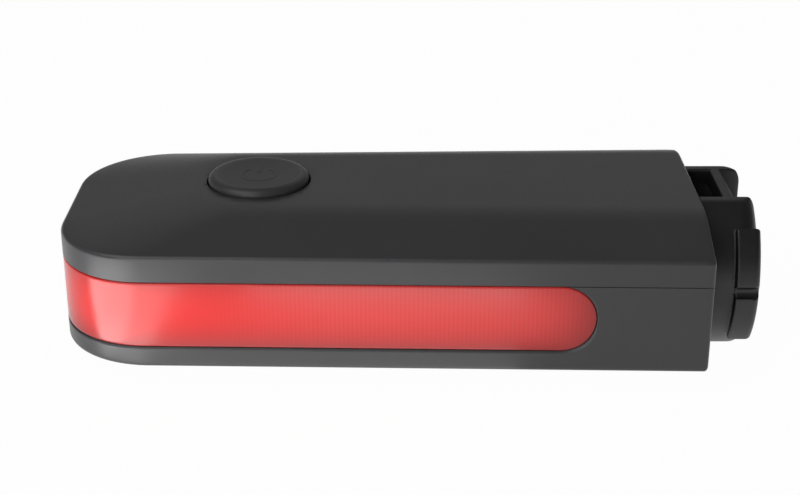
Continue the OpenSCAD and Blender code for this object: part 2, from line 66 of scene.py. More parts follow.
print("solids:", len(nodes), "box in mm:", [[round(x / MM, 2) for x in corner] for corner in cad_box])

# %% [markdown]
# ## From arrays to a mesh
# Each piece is worked out as arrays of points in millimetres. A patch is a set of points, faces and
# one number per point, a share from 0 to 1 that the piece's finish may use. Most patches are grids over
# two parameters; a face with holes is filled with triangles instead. Neighbouring patches share the
# points on their border, so a piece is joined by merging points that round to the same place.


# %% Patches
def grid_patch(points, share=0.0, closed=False):
    """Quads between neighbours of a (rows, columns, 3) grid; closed joins the last column to the first."""
    rows, cols = points.shape[:2]
    index = np.arange(rows * cols).reshape(rows, cols)
    if closed:
        index = np.hstack([index, index[:, :1]])
    quads = np.stack([index[:-1, :-1], index[1:, :-1], index[1:, 1:], index[:-1, 1:]], -1)
    return points.reshape(-1, 3), quads.reshape(-1, 4), np.broadcast_to(share, (rows, cols)).ravel()


def inside_ring(points, ring):
    """Even-odd rule: a point is inside if a line to its right crosses the ring an odd number of times."""
    a, b = ring[None], np.roll(ring, -1, 0)[None]
    x, y = points[:, None, 0], points[:, None, 1]
    spans = (a[..., 1] > y) != (b[..., 1] > y)
    rise = np.where(spans, b[..., 1] - a[..., 1], 1)
    cross = a[..., 0] + (y - a[..., 1]) / rise * (b[..., 0] - a[..., 0])
    return (spans & (x < cross)).sum(1) % 2 == 1


KEEP_INSIDE, SAME_POINT = 1, 1e-7


def flat_patch(loop, holes, level, axes=(0, 1, 2), inner=()):
    """Triangles inside a flat loop and outside its holes, through any inner points as well. The loop's two
    coordinates go to the first two of the axes; the third is one level, or one for every given point."""
    rings = [loop, *holes]
    points = np.concatenate([*rings, np.reshape(inner, (-1, 2))])
    ends = np.cumsum([0] + [len(ring) for ring in rings])
    spans = [np.arange(a, b) for a, b in zip(ends[:-1], ends[1:])]
    edges = np.concatenate([np.stack([span, np.roll(span, -1)], 1) for span in spans])
    found = delaunay_2d_cdt(points.tolist(), edges.tolist(), [], KEEP_INSIDE, SAME_POINT)
    flat = np.array([point[:] for point in found[0]])
    triangles = np.array(found[2])
    middle = flat[triangles].mean(1)
    open_air = np.zeros(len(middle), bool)
    for hole in holes:
        open_air |= inside_ring(middle, hole)
    place = np.empty((len(flat), 3))
    place[:, axes[:2]] = flat
    place[:, axes[2]] = np.broadcast_to(level, len(points))[[given[0] for given in found[3]]]
    return place, triangles[~open_air], np.zeros(len(flat))


def facing(patch, point, towards=False):
    """Turns a patch's faces so that, on the whole, they look away from a point, or towards it."""
    points, faces, share = patch
    a, b, c = (points[faces[:, k]] for k in (0, 1, 2))
    away = (np.cross(b - a, c - a) * ((a + b + c) / 3 - point)).sum()
    return (points, faces if (away > 0) != towards else faces[:, ::-1], share)


# %% Joining patches into a piece
WELD = 1e-4


def into_scene(name, data):
    """A new object for a mesh, a camera or a lamp."""
    made = bpy.data.objects.new(name, data)
    bpy.context.scene.collection.objects.link(made)
    return made


def make_piece(name, patches, sharp_deg=35):
    """One object from patches; points that round to the same multiple of WELD become one point."""
    points = np.concatenate([patch[0] for patch in patches])
    share = np.concatenate([patch[2] for patch in patches])
    starts = np.cumsum([0] + [len(patch[0]) for patch in patches])
    rounded = np.round(points / WELD).astype(np.int64)
    _, first, place = np.unique(rounded, axis=0, return_index=True, return_inverse=True)
    place = place.ravel()
    faces = []
    for patch, start in zip(patches, starts):
        faces += [list(dict.fromkeys(face)) for face in place[patch[1] + start].tolist()]
    mesh = bpy.data.meshes.new(name)
    mesh.from_pydata((points[first] * MM).tolist(), [], [face for face in faces if len(face) > 2])
    shares = mesh.attributes.new("share", "FLOAT", "POINT")
    shares.data.foreach_set("value", share[first].astype(np.float32))
    mesh.shade_smooth()
    mesh.set_sharp_from_angle(angle=np.radians(sharp_deg))
    print(name, len(mesh.vertices), "points", len(mesh.polygons), "faces")
    return into_scene(name, mesh)


def belongs(piece, body, node):
    """Makes a piece ride on a body and stand for a solid, which it hides."""
    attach(piece, body)
    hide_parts(node)


# %% [markdown]
# ## The body's outline
# Seen from above, the body tapers a little towards its tail and turns round two large corners. The
# flat top has the same kind of outline, only smaller. The facets join points of the two outlines
# whose edges run the same way, which is how a sheet would wrap round both. So both outlines are
# sampled at the same stations: along the near side, round the corner and to the middle of the
# tail; the far half is the mirror image.


# %% Sizes of the body
def box_mm(node):
    """Lowest and highest corner of a solid, in millimetres."""
    return np.array(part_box(node)) / MM


(TAIL_X, _, _), (END_X, HALF_W, TOP_Z) = box_mm("top_cover")
RIM_Z = box_mm("lower_shell")[1, 2]
BODY_W = 2 * HALF_W
TAIL_W, TAIL_R = 39.8, 13.0
FLAT_W, FLAT_X, FLAT_R = 24.8, TAIL_X + 18.5, 8.0
BELT_Z = 8.2
TAPER = (BODY_W - TAIL_W) / 2 / (END_X - TAIL_X)
SIDE_A = np.arctan(TAPER)
FACET_W = (BODY_W - FLAT_W) / 2
MIDDLE = np.array([(END_X + TAIL_X) / 2, 0, 0])
print("body from", TAIL_X, "to", END_X, "width", BODY_W, "top", TOP_Z, "joint", RIM_Z)


# %% Stations round the body
ROLL = 6


def corner(width, x_tail, r):
    """Centre of the near tail corner's arc, and the place where the straight side meets that arc."""
    cx = x_tail + r
    cy = width / 2 - TAPER * (END_X - cx) - r / np.cos(SIDE_A)
    return np.array([cx, -cy]), cx - r * np.sin(SIDE_A)


def side_y(width, x):
    """Near side of an outline at x: half the width less the taper, on the minus side."""
    return TAPER * (END_X - x) - width / 2


def mirrored(near, turn=1.0):
    """A near half and its mirror image; turn is -1 on the components that change sign."""
    return np.concatenate([near, near[-2::-1] * turn])


def body_stations(side_x, end_round, arc_steps=36, tail_steps=6):
    """Stations over the whole outline: for each the outline point, the flat top's point, the outward
    direction, the heights of the belt's edge and of the top, and the facet's width across.
    The first stations roll the mount end's edge over by a quarter circle of radius end_round."""
    phi = np.radians(np.linspace(90, 0, ROLL))
    drop = end_round * (1 - np.cos(phi))
    x_end = END_X - end_round * (1 - np.sin(phi))
    slope = np.arctan((TOP_Z - BELT_Z) / FACET_W)
    c0, s0 = corner(BODY_W, TAIL_X, TAIL_R)
    c1, s1 = corner(FLAT_W, FLAT_X, FLAT_R)
    share = (x_end[-1] - side_x) / (x_end[-1] - s0)
    x0 = np.concatenate([x_end, side_x])
    x1 = np.concatenate([x_end, x_end[-1] + (s1 - x_end[-1]) * share])
    inset = np.concatenate([drop, 0 * side_x])
    angle = np.linspace(SIDE_A, np.pi / 2, arc_steps + 1)
    out = np.stack([-np.sin(angle), -np.cos(angle)], 1)
    to_middle = np.linspace(0, 1, tail_steps + 1)[1:]

    def outline(width, x_tail, r, centre, x, drawn):
        """Near half of one outline: the side at x, drawn in, the corner's arc and the straight tail."""
        side = np.stack([x, side_y(width, x) + drawn], 1)
        tail = np.stack([np.full(tail_steps, x_tail), centre[1] * (1 - to_middle)], 1)
        return np.concatenate([side, centre + r * out, tail])

    body = outline(BODY_W, TAIL_X, TAIL_R, c0, x0, inset)
    flat = outline(FLAT_W, FLAT_X, FLAT_R, c1, x1, inset * np.tan(slope / 2))
    side_out = np.broadcast_to([0.0, -1.0], (len(x0), 2))
    outward = np.concatenate([side_out, out, np.broadcast_to([-1.0, 0.0], (tail_steps, 2))])
    drawn_in = np.concatenate([inset, np.zeros(len(body) - len(inset))])
    width = ((body - flat) * outward).sum(1)
    width[ROLL : len(x0)] = FACET_W
    flip = np.array([1, -1])
    return {
        "body": mirrored(body, flip),
        "flat": mirrored(flat, flip),
        "out": mirrored(outward, flip),
        "width": mirrored(width),
        "low": mirrored(BELT_Z - drawn_in * np.tan((np.pi / 2 - slope) / 2)),
        "high": mirrored(TOP_Z - drawn_in),
        "end": mirrored(np.concatenate([np.sin(2 * phi), np.zeros(len(body) - ROLL)])),
    }


# %% [markdown]
# ## The top cover
# The cover is an upright belt, facets that rise from it and a flat top. Injection moulds leave no
# knife edges: the belt's edge has a small round, and the crease along the flat top is so soft that
# it shows only as a change of tone. The skin is a grid of stations by rows, where the rows climb
# from the rim over the belt, the round and the facet to the flat. The flat has a hole for the
# button, so it is filled with triangles. A Solidify modifier gives the wall its thickness.

# %% Rows over the belt's edge
EDGE_ROWS, FACET_ROWS, CREASE_ROWS = 9, 8, 13
EDGE_R = 0.7
TAIL_FACET_W = FLAT_X - TAIL_X
SOFT_OUT, SOFT_IN = (2.4, 5.0), (2.0, 1.0)


def spread(st, d, z):
    """Points at distance d inwards from the outline and at height z; both are (stations, rows)."""
    d, z = np.broadcast_arrays(d, z)
    flat = st["body"][:, None] - st["out"][:, None] * d[..., None]
    return np.concatenate([flat, z[..., None]], -1)


def flank_rows(st):
    """Rows over the belt's edge: a circular round that is tangent to the upright belt and to the facet,
    straight rows up the facet, and a parabola that is tangent to the facet and to the flat top. Towards
    the tail the facet is wider, and its crease is softer by the same share."""
    tan = ((st["high"] - st["low"]) / st["width"])[:, None]
    beta = np.arctan(tan)
    turn = np.pi - np.linspace(0, 1, EDGE_ROWS) * (np.pi / 2 - beta)
    centre = st["low"][:, None] + EDGE_R * tan - EDGE_R / np.cos(beta)
    bend = spread(st, EDGE_R + EDGE_R * np.cos(turn), centre + EDGE_R * np.sin(turn))
    wide = np.clip((st["width"] - FACET_W) / (TAIL_FACET_W - FACET_W), 0, 1)[:, None]
    out, back = (a + (b - a) * wide for a, b in (SOFT_OUT, SOFT_IN))
    high = st["high"][:, None]
    ruling = (st["body"] - st["flat"]) / st["width"][:, None]
    before = np.hstack([st["flat"] + ruling * out, high - out * tan])[:, None]
    peak = np.hstack([st["flat"], high])[:, None]
    after = np.hstack([st["flat"] - st["out"] * back, high])[:, None]
    s = np.linspace(0, 1, FACET_ROWS)[None, 1:-1, None]
    t = np.linspace(0, 1, CREASE_ROWS)[None, :, None]
    facet = bend[:, -1:] * (1 - s) + before * s
    crease = before * (1 - t) ** 2 + 2 * peak * t * (1 - t) + after * t**2
    rows = np.hstack([bend, facet, crease])
    edge = np.zeros(rows.shape[:2])
    edge[:, :EDGE_ROWS] = np.sin(np.linspace(0, np.pi, EDGE_ROWS))
    return rows, np.maximum(edge, st["end"][:, None])


# %% Rings and holes
def ring(x, y, r, count=96):
    """Points on a circle in plan."""
    a = np.linspace(0, 2 * np.pi, count, endpoint=False)
    return np.stack([x + r * np.cos(a), y + r * np.sin(a)], 1)


def at_height(loop, z):
    """A loop in plan, put at a height or at a height for each point."""
    return np.hstack([loop, np.broadcast_to(z, len(loop))[:, None]])


LATTICE_STEP, LATTICE_CLEAR = 1.5, 0.4


def apart(points, others):
    """Which points keep clear of all the others."""
    return np.linalg.norm(points[:, None] - others[None], axis=-1).min(1) > LATTICE_CLEAR


def lattice(loop, holes):
    """Points on a square lattice inside a loop and outside its holes. They keep the triangles of a flat
    face small, so that the soft shading along its border does not spread over it."""
    x, y = (np.arange(low, high, LATTICE_STEP) for low, high in zip(loop.min(0), loop.max(0)))
    points = np.stack(np.meshgrid(x, y), -1).reshape(-1, 2)
    outside = ~np.any([inside_ring(points, hole) for hole in holes], 0)
    return points[inside_ring(points, loop) & outside & apart(points, np.concatenate([loop, *holes]))]


def flat_loop(grid):
    """The border of the flat part of a skin: its innermost row, without the rolled mount end."""
    return grid[ROLL - 1 : 1 - ROLL, -1, :2]


def end_strip(grid, st):
    """The rolled mount end between the two sides of the flat part, straight across."""
    near, far = grid[:ROLL, -1], grid[-ROLL:, -1][::-1]
    return grid_patch(np.stack([near, far], 1), st["end"][:ROLL, None])


# %% Build the cover
END_ROUND, RIM_CUT, WALL = 0.6, 0.07, 1.8
BUTTON_X = box_mm("button")[:, 0].mean()
BUTTON_R, BUTTON_GAP, HOLE_CUT = 7.3, 0.2, 0.15
BUTTON_AXIS = np.array([BUTTON_X, 0, 0])
STEP_IN, HOLE_MID = 1.5, 0.3 * HOLE_CUT
COVER_STEPS = (20, 24)


def give_wall(piece):
    """Solidify grows the skin inwards by the thickness of the wall."""
    wall = piece.modifiers.new("wall", "SOLIDIFY")
    wall.thickness, wall.offset = WALL * MM, -1


bend_x = corner(BODY_W, TAIL_X, TAIL_R)[1]
half_x = (END_X + bend_x) / 2
cover_x = np.concatenate([
    np.linspace(END_X - STEP_IN, half_x, COVER_STEPS[0]),
    np.linspace(half_x, bend_x, COVER_STEPS[1])[1:-1],
])
cover_st = body_stations(cover_x, END_ROUND)
flank, flank_edge = flank_rows(cover_st)
rim = spread(cover_st, np.array([[RIM_CUT, 0.0]]), np.full((len(flank), 2), RIM_Z) + [0, RIM_CUT])
belt = np.hstack([rim, (rim[:, 1:] + flank[:, :1]) / 2])
cover_grid = np.hstack([belt, flank])
cover_edge = np.hstack([np.repeat(cover_st["end"][:, None], belt.shape[1], 1), flank_edge])
hole_r = BUTTON_R + BUTTON_GAP
hole_steps = ((HOLE_CUT, 0.0), (HOLE_MID, HOLE_MID), (0.0, HOLE_CUT))
hole_rings = [at_height(ring(BUTTON_X, 0, hole_r + wide), TOP_Z - deep) for wide, deep in hole_steps]
cover_flat, button_hole = flat_loop(cover_grid), ring(BUTTON_X, 0, hole_r + HOLE_CUT)
end_loop = np.concatenate([cover_grid[0], cover_grid[-1][::-1]])[:, 1:]
cover = make_piece("cover_skin", [
    facing(grid_patch(cover_grid, cover_edge), MIDDLE),
    facing(end_strip(cover_grid, cover_st), MIDDLE),
    facing(flat_patch(cover_flat, [button_hole], TOP_Z, inner=lattice(cover_flat, [button_hole])), MIDDLE),
    facing(grid_patch(np.stack(hole_rings), closed=True), BUTTON_AXIS),
    facing(flat_patch(end_loop, [], END_X, (1, 2, 0)), MIDDLE),
])
give_wall(cover)
belongs(cover, "housing", "top_cover")

# %% [markdown]
# ## The lower shell
# The lower shell is the same form upside down, with a long window for the lens. The belt is made of
# two grids that follow the window's edge: one below it, all the way round, and one above its round
# ends, next to the mount. The under side has a shallow bay for the port flap and four deep holes
# for the case screws. On the real part all of this comes out of one mould, so it is one mesh here
# too, and one Solidify modifier gives it its wall.

# %% Window of the lens
LENS_R = 4.9
LENS_Z = RIM_Z - LENS_R
LENS_END = END_X - 15.6
LENS_X = LENS_END - LENS_R
FAN, SHELL_STEPS = 25, (8, 30)
TIP_CLEAR, TIP_GAP = 1.0, 0.12
BELT_ROWS, RISE_ROWS = 6, 5
MIRROR, TURN_OVER = np.array([1, -1, 1]), np.array([1, 1, -1])


def window_half(x, r):
    """Half the height of the window at x: r along the side, then a circle of radius r, then nothing."""
    ahead = np.clip(x - LENS_X, 0, r)
    return np.sqrt(r**2 - ahead**2)


fan = np.radians(np.linspace(0, 90, FAN))
shell_x = np.concatenate([
    np.linspace(END_X - STEP_IN, LENS_END + TIP_CLEAR, SHELL_STEPS[0]),
    [LENS_END + TIP_GAP],
    LENS_X + LENS_R * np.cos(fan),
    np.linspace(LENS_X - STEP_IN, bend_x, SHELL_STEPS[1])[:-1],
])
shell_st = body_stations(shell_x, END_ROUND)
under, under_edge = flank_rows(shell_st)
under = under * TURN_OVER
opening = window_half(shell_st["body"][:, 0], LENS_R)[:, None]
down = np.linspace(0, 1, BELT_ROWS)[None, :-1]
belt_z = (LENS_Z - opening) * (1 - down) + under[:, :1, 2] * down
shell_grid = np.hstack([spread(shell_st, 0.0, belt_z), under])
shell_edge = np.hstack([np.repeat(shell_st["end"][:, None], belt_z.shape[1], 1), under_edge])
print("lower shell:", len(shell_grid), "stations of", shell_grid.shape[1], "rows")

# %% Belt above the round end of the window
CUSP = LENS_R / 6
above = int((shell_x > LENS_X + CUSP).sum()) + ROLL
near_st = {key: value[:above] for key, value in shell_st.items()}
rise = np.linspace(0, 1, RISE_ROWS)[None]
edge_z = LENS_Z + opening[:above]
cut_z = RIM_Z - np.minimum(RIM_CUT, (LENS_R - opening[:above]) / 2)
upper_z = np.hstack([edge_z * (1 - rise) + cut_z * rise, np.full((above, 1), RIM_Z)])
upper_in = np.hstack([np.zeros((above, RISE_ROWS)), np.full((above, 1), RIM_CUT)])
upper_near = spread(near_st, upper_in, upper_z)
upper_far = upper_near * MIRROR
print("belt above the window:", above, "stations on each side")

# %% Bay for the flap, holes for the screws
PORT_X = box_mm("usb_socket")[:, 0].mean()
BAY_HALF, BAY_R = np.array([4.2, 6.85]), 1.75
ANCHOR_BAY_X, ANCHOR_BAY_Y = END_X - 6.7, 3.6
BAY_Z = TOP_Z - 1.3
ANCHOR_X, ANCHOR_STEM_R, STEM_GAP = PORT_X + 5.7, 1.2, 0.05
SLOT_HALF, SLOT_R = np.array([1.9, 4.77]), 1.5
POSTS = [(END_X - 7.5, 8.6), (TAIL_X + 15.5, 8.0)]
HEAD_HOLE_R, HEAD_SEAT_Z = 2.3, 8.4
STEM_STEPS, POST_STEPS = 32, 48


def rounded_loop(centre, half, r, steps=8):
    """A rectangle in plan with round corners: quarter circles, counter-clockwise from the +X +Y one."""
    a = np.radians(np.linspace(0, 90, steps)[None] + np.array([[0], [90], [180], [270]]))
    sign = np.array([[1, 1], [-1, 1], [-1, -1], [1, -1]])[:, None]
    return (centre + sign * (half - r) + r * np.stack([np.cos(a), np.sin(a)], -1)).reshape(-1, 2)


step_x = PORT_X + BAY_HALF[0]
anchor_bay_x = np.array([step_x, ANCHOR_BAY_X, ANCHOR_BAY_X, step_x])
anchor_bay = np.stack([anchor_bay_x, np.array([-1, -1, 1, 1]) * ANCHOR_BAY_Y], 1)
port = np.array([PORT_X, 0])
bay = np.concatenate([rounded_loop(port, BAY_HALF, BAY_R), anchor_bay])
slot = rounded_loop(port, SLOT_HALF, SLOT_R)
stem_hole = ring(ANCHOR_X, 0, ANCHOR_STEM_R + STEM_GAP, STEM_STEPS)
posts = [ring(x, side * y, HEAD_HOLE_R, POST_STEPS) for x, y in POSTS for side in (-1, 1)]


def well(loop, low, high):
    """Upright walls of a recess in the under side, facing its middle."""
    walls = grid_patch(np.stack([at_height(loop, low), at_height(loop, high)]), closed=True)
    return facing(walls, np.append(loop.mean(0), np.mean((low + high) / 2)), towards=True)


print("bay for the flap at x", round(PORT_X, 2), "and", len(posts), "screw holes")

# %% [markdown]
# ### The under side
# The screw holes cut through the soft crease between the flat and the facets, so their rims are not
# level, and rows that climb from the belt leave no room for them. Seen in plan the under side never
# folds over itself, though, so it can be a sheet of heights over the plan: the points of those rows,
# filled with triangles round the openings. A point on a rim takes its height from the skin next to it.

# %% Under side as heights over the plan
UNDER_FROM, NEAREST = belt_z.shape[1] + EDGE_ROWS - 1, 12


def heights(plan, cloud):
    """Heights of points in plan over a cloud of surface points: each lies on the plane that fits its
    nearest ones best, and never below the flat under side."""
    far = np.linalg.norm(plan[:, None] - cloud[None, :, :2], axis=-1)
    near = cloud[np.argsort(far, 1)[:, :NEAREST]]
    middle = near.mean(1, keepdims=True)
    slope = np.linalg.pinv((near - middle)[..., :2]) @ (near - middle)[..., 2:]
    rise = ((plan[:, None] - middle[..., :2]) @ slope)[:, 0, 0]
    return np.maximum(middle[:, 0, 2] + rise, -TOP_Z)


sheet = shell_grid[ROLL - 1 : 1 - ROLL, UNDER_FROM:]
border = np.concatenate([sheet[:, 0], sheet[-1, 1:], sheet[0, :0:-1]])
openings = [bay, *posts]
level_points = lattice(flat_loop(shell_grid), openings)
slope_points = sheet[1:-1, 1:].reshape(-1, 3)
in_hole = np.any([inside_ring(slope_points[:, :2], hole) for hole in openings], 0)
slope_points = slope_points[~in_hole & apart(slope_points[:, :2], np.concatenate(openings))]
inner = np.concatenate([slope_points, at_height(level_points, -TOP_Z)])
cloud = np.concatenate([border, inner])
rims = [heights(hole, cloud) for hole in openings]
levels = np.concatenate([border[:, 2], *rims, inner[:, 2]])
under_sheet = flat_patch(border[:, :2], openings, levels, inner=inner[:, :2])
print("under side:", len(under_sheet[1]), "triangles round", len(openings), "openings")

# %% Build the lower shell
above_it = MIDDLE + [0, 0, TOP_Z]
side_rows = np.concatenate([upper_near[0][::-1], shell_grid[0][1:]])
end_loop = np.concatenate([side_rows, side_rows[::-1] * MIRROR])[:, 1:]
kept = np.ones(np.array(shell_grid.shape[:2]) - 1, bool)
kept[ROLL - 1 : 1 - ROLL, UNDER_FROM:] = False
points, quads, share = facing(grid_patch(shell_grid, shell_edge), MIDDLE)
shell = make_piece("lower_skin", [
    (points, quads[kept.ravel()], share),
    facing(under_sheet, above_it),
    facing(grid_patch(upper_near, near_st["end"][:, None]), MIDDLE),
    facing(grid_patch(upper_far, near_st["end"][:, None]), MIDDLE),
    facing(end_strip(shell_grid, shell_st), MIDDLE),
    facing(flat_patch(end_loop, [], END_X, (1, 2, 0)), MIDDLE),
    well(bay, -TOP_Z, -BAY_Z),
    facing(flat_patch(bay, [slot, stem_hole], -BAY_Z), above_it),
    *[well(post, rim_z, -HEAD_SEAT_Z) for post, rim_z in zip(posts, rims[1:])],
    *[facing(flat_patch(post, [], -HEAD_SEAT_Z), above_it) for post in posts],
])
give_wall(shell)
belongs(shell, "housing", "lower_shell")

# %% [markdown]
# ## The red lens
# The lens is a band that fills the window, flush with the belt, with a half circle at each end. It
# is a closed loop of rows, outer face up and inner face down, carried along the same outline. At a
# round end its height shrinks with the circle, and the outer face rolls inwards near its edge. Each
# point also keeps a share of painted glow for the finish. The share is highest a little above mid height,
# where the red is painted bright as if the milky light guide behind lit it. It is lower towards the edges
# and the round ends, where the red is painted deeper as shade.

# %% Build the lens
LENS_GAP, LENS_BACK, LENS_ROUND, LENS_SINK = 0.08, 1.9, 0.25, 0.02
LENS_ROWS, LENS_STEPS, BACK_STEP = 33, 28, 4
# How far the painted glow reaches from the round end, and where its peak lies in height.
PAINTED_GLOW_FADE, PAINTED_GLOW_MID = 9.5, 0.2
lens_r = LENS_R - LENS_GAP
lens_side = np.linspace(LENS_X - STEP_IN, bend_x, LENS_STEPS)[:-1]
lens_x = np.concatenate([LENS_X + lens_r * np.cos(fan), lens_side])
lens_st = body_stations(lens_x, END_ROUND, arc_steps=48, tail_steps=8)
lens_st = {key: value[ROLL:-ROLL] for key, value in lens_st.items()}
ahead = lens_st["body"][:, :1] - LENS_X
climb = np.sin(np.linspace(-np.pi / 2, np.pi / 2, LENS_ROWS))
lens_z = LENS_Z + window_half(lens_st["body"][:, :1], lens_r) * climb
to_edge = lens_r - np.hypot(np.maximum(ahead, 0), lens_z - LENS_Z)
roll = np.clip(LENS_ROUND - to_edge, 0, LENS_ROUND)
outer_in = LENS_SINK + LENS_ROUND - np.sqrt(LENS_ROUND**2 - roll**2)
back_z = lens_z[:, ::-BACK_STEP]
lens_grid = np.hstack([spread(lens_st, outer_in, lens_z), spread(lens_st, LENS_BACK, back_z)])
# Painted glow: brightest a little above mid height, fading to painted shade at the edges and round ends.
to_end = np.clip((LENS_END - lens_st["body"][:, :1]) / PAINTED_GLOW_FADE, 0, 1)
painted_glow = np.sin(to_end * np.pi / 2) * (1 - ((climb - PAINTED_GLOW_MID) / (1 + PAINTED_GLOW_MID)) ** 2)
lens_painted_glow = np.hstack([painted_glow, np.zeros(back_z.shape)])
lens = make_piece("lens_band", [facing(grid_patch(lens_grid, lens_painted_glow, closed=True), MIDDLE)])
belongs(lens, "housing", "outer_lens")

# %% [markdown]
# ## The button
# A thumb button is turned: one profile swept round its axis. It stands a millimetre proud, with a
# sloping, rounded wall and a shallow dish for the thumb. The mark on it is the plain power sign, a
# broken ring with a bar, raised by less than a tenth of a millimetre. The grid is fine enough to carry
# that relief, so the mark is one formula: a smooth step on the distance to the ring and to the bar.

# %% Power sign
MARK_R, MARK_HALF, MARK_SOFT, MARK_GAP_A = 2.5, 0.27, 0.1, 0.6
BAR_Y, BAR_HALF = 2.2, 1.2


def step(value, soft):
    """Goes smoothly from 0 to 1 where value goes from -soft to +soft."""
    t = np.clip(value / soft / 2 + 0.5, 0, 1)
    return t * t * (3 - 2 * t)


def power_mark(x, y):
    """Height share of the mark: a ring with a gap, and a bar through the gap."""
    r, a = np.hypot(x, y), np.abs(np.arctan2(x, y))
    past_gap = step((a - MARK_GAP_A) * MARK_R, MARK_SOFT)
    broken_ring = step(MARK_HALF - np.abs(r - MARK_R), MARK_SOFT) * past_gap
    bar = step(MARK_HALF - np.abs(x), MARK_SOFT) * step(BAR_HALF - np.abs(y - BAR_Y), MARK_SOFT)
    return np.maximum(broken_ring, bar)


# %% Build the button
BUTTON_TOP_R, BUTTON_RISE, DISH, DISH_R = 6.0, 1.1, 0.4, 5.4
FOOT_RISE, DISH_GAP = 0.15, 0.15
STEM_LOW, BUTTON_STEM_R = box_mm("button")[0, 2], 2.3
FLANGE_LOW, FLANGE_TOP, FLANGE_R = TOP_Z - 3.3, TOP_Z - 2.3, 8.7
MARK_RISE, MARK_FIELD_R, RUB_POWER = 0.08, 4.0, 4
TURN_STEPS, WALL_STEPS, DISH_STEPS, FIELD_STEPS = 192, 14, 18, 60

top = TOP_Z + BUTTON_RISE
bend = np.linspace(0, np.pi / 2, WALL_STEPS)
wall_r = BUTTON_TOP_R + (BUTTON_R - BUTTON_TOP_R) * np.cos(bend)
wall_z = top - (BUTTON_RISE - FOOT_RISE) * (1 - np.sin(bend))
dish_r = np.concatenate([
    np.linspace(BUTTON_TOP_R - DISH_GAP, MARK_FIELD_R, DISH_STEPS),
    np.linspace(MARK_FIELD_R, 0.0, FIELD_STEPS)[1:],
])
dish_z = top - DISH * np.clip(1 - (dish_r / DISH_R) ** 2, 0, None)
hidden_r = [0, BUTTON_STEM_R, BUTTON_STEM_R, FLANGE_R, FLANGE_R, BUTTON_R]
hidden_z = [STEM_LOW, STEM_LOW, FLANGE_LOW, FLANGE_LOW, FLANGE_TOP, FLANGE_TOP]
profile_r = np.concatenate([hidden_r, wall_r, dish_r])[:, None]
profile_z = np.concatenate([hidden_z, wall_z, dish_z])[:, None]
turn = np.linspace(0, 2 * np.pi, TURN_STEPS, endpoint=False)
bx, by = profile_r * np.cos(turn), profile_r * np.sin(turn)
bz = profile_z + MARK_RISE * power_mark(bx, by) * (profile_r < MARK_FIELD_R)
rubbed = np.concatenate([np.zeros(len(hidden_r)), np.sin(bend) ** RUB_POWER, np.zeros(len(dish_r))])[:, None]
button_grid = grid_patch(np.stack([bx + BUTTON_X, by, bz], -1), rubbed, closed=True)
button = make_piece("button_cap", [facing(button_grid, BUTTON_AXIS)])
belongs(button, "button", "button")

# %% [markdown]
# ## Surfaces from a distance
# The mount is a boss with flats, tabs, grooves and slots, too many cuts for one grid over two
# parameters. Here a function gives every point in space its distance to the surface, below zero
# inside. Cutting and joining are then a largest or a smallest value, and a round edge costs one more
# line. The surface, where the function is zero, is found on cells of one size: each cell that it
# passes through gets one point, which slides down the slope of the function onto the surface, and
# each cell edge that it crosses gets one quad between the four cells round it.


# %% Rounded joins and cuts
def meet(r, a, b):
    """Inside both a and b, with the edge between them rounded to radius r."""
    return np.minimum(-r, np.maximum(a, b)) + np.hypot(np.maximum(a + r, 0), np.maximum(b + r, 0))


def join(r, a, b):
    """Inside a or b, with the inner corner between them filled to radius r."""
    return np.maximum(r, np.minimum(a, b)) - np.hypot(np.maximum(r - a, 0), np.maximum(r - b, 0))


def rectangle(x, y, half, r):
    """Distance to a rectangle with round corners: from its border outside, from its sides inside."""
    qx, qy = np.abs(x) - half[0] + r, np.abs(y) - half[1] + r
    return np.hypot(np.maximum(qx, 0), np.maximum(qy, 0)) + np.minimum(np.maximum(qx, qy), 0) - r


# %% From a distance to a patch
SLIDES, TINY, LEAST_SLOPE, LEVEL_SHARP = 6, 1e-4, 0.25, 60
ROUND_EDGE = ((0, 0), (1, 0), (1, 1), (0, 1))


def level_patch(field, low, high, cell):
    """Points and quads of the surface where field(x, y, z) is zero, found on cells of one size."""
    axes = [np.arange(a - cell, b + 2 * cell, cell) for a, b in zip(low, high)]
    solid = field(*np.meshgrid(*axes, indexing="ij")) < 0
    ends = (slice(None, -1), slice(1, None))
    corners = sum(solid[i, j, k].astype(int) for i, j, k in itertools.product(ends, repeat=3))
    cells = np.argwhere((corners > 0) & (corners < 8))
    number = np.full(corners.shape, -1)
    number[tuple(cells.T)] = np.arange(len(cells))
    points = np.array([axis[0] for axis in axes]) + (cells + 0.5) * cell
    for _ in range(SLIDES):
        here = field(*points.T)
        slope = np.stack([field(*(points + nudge).T) - here for nudge in np.eye(3) * TINY], 1) / TINY
        steep = np.maximum((slope**2).sum(1), LEAST_SLOPE)
        points = np.clip(points - (np.clip(here, -cell, cell) / steep)[:, None] * slope, low, high)
    quads = []
    for axis in range(3):
        order = [(axis + k) % 3 for k in range(3)]
        filled, cell_of = solid.transpose(order), number.transpose(order)
        here, there = filled[:-1, 1:-1, 1:-1], filled[1:, 1:-1, 1:-1]
        i, j, k = np.nonzero(here != there)
        round_edge = np.stack([cell_of[i, j + b, k + c] for b, c in ROUND_EDGE], 1)
        quads.append(np.where(there[i, j, k][:, None], round_edge[:, ::-1], round_edge))
    return points, np.concatenate(quads), np.zeros(len(points))


def level_piece(name, field, node, cell):
    """A piece from a distance, found inside the box of the solid that it stands for."""
    return make_piece(name, [level_patch(field, *box_mm(node), cell)], LEVEL_SHARP)


# %% [markdown]
# ## The quarter-turn mount
# The boss is turned, with a large round on its outer rim and a flat above and below. Two tabs stand
# out at its sides, each with a small groove that a spring in the bracket clicks into. In the top is a
# slot with a bar across it for a safety cord, and three screws sit deep in its outer face.

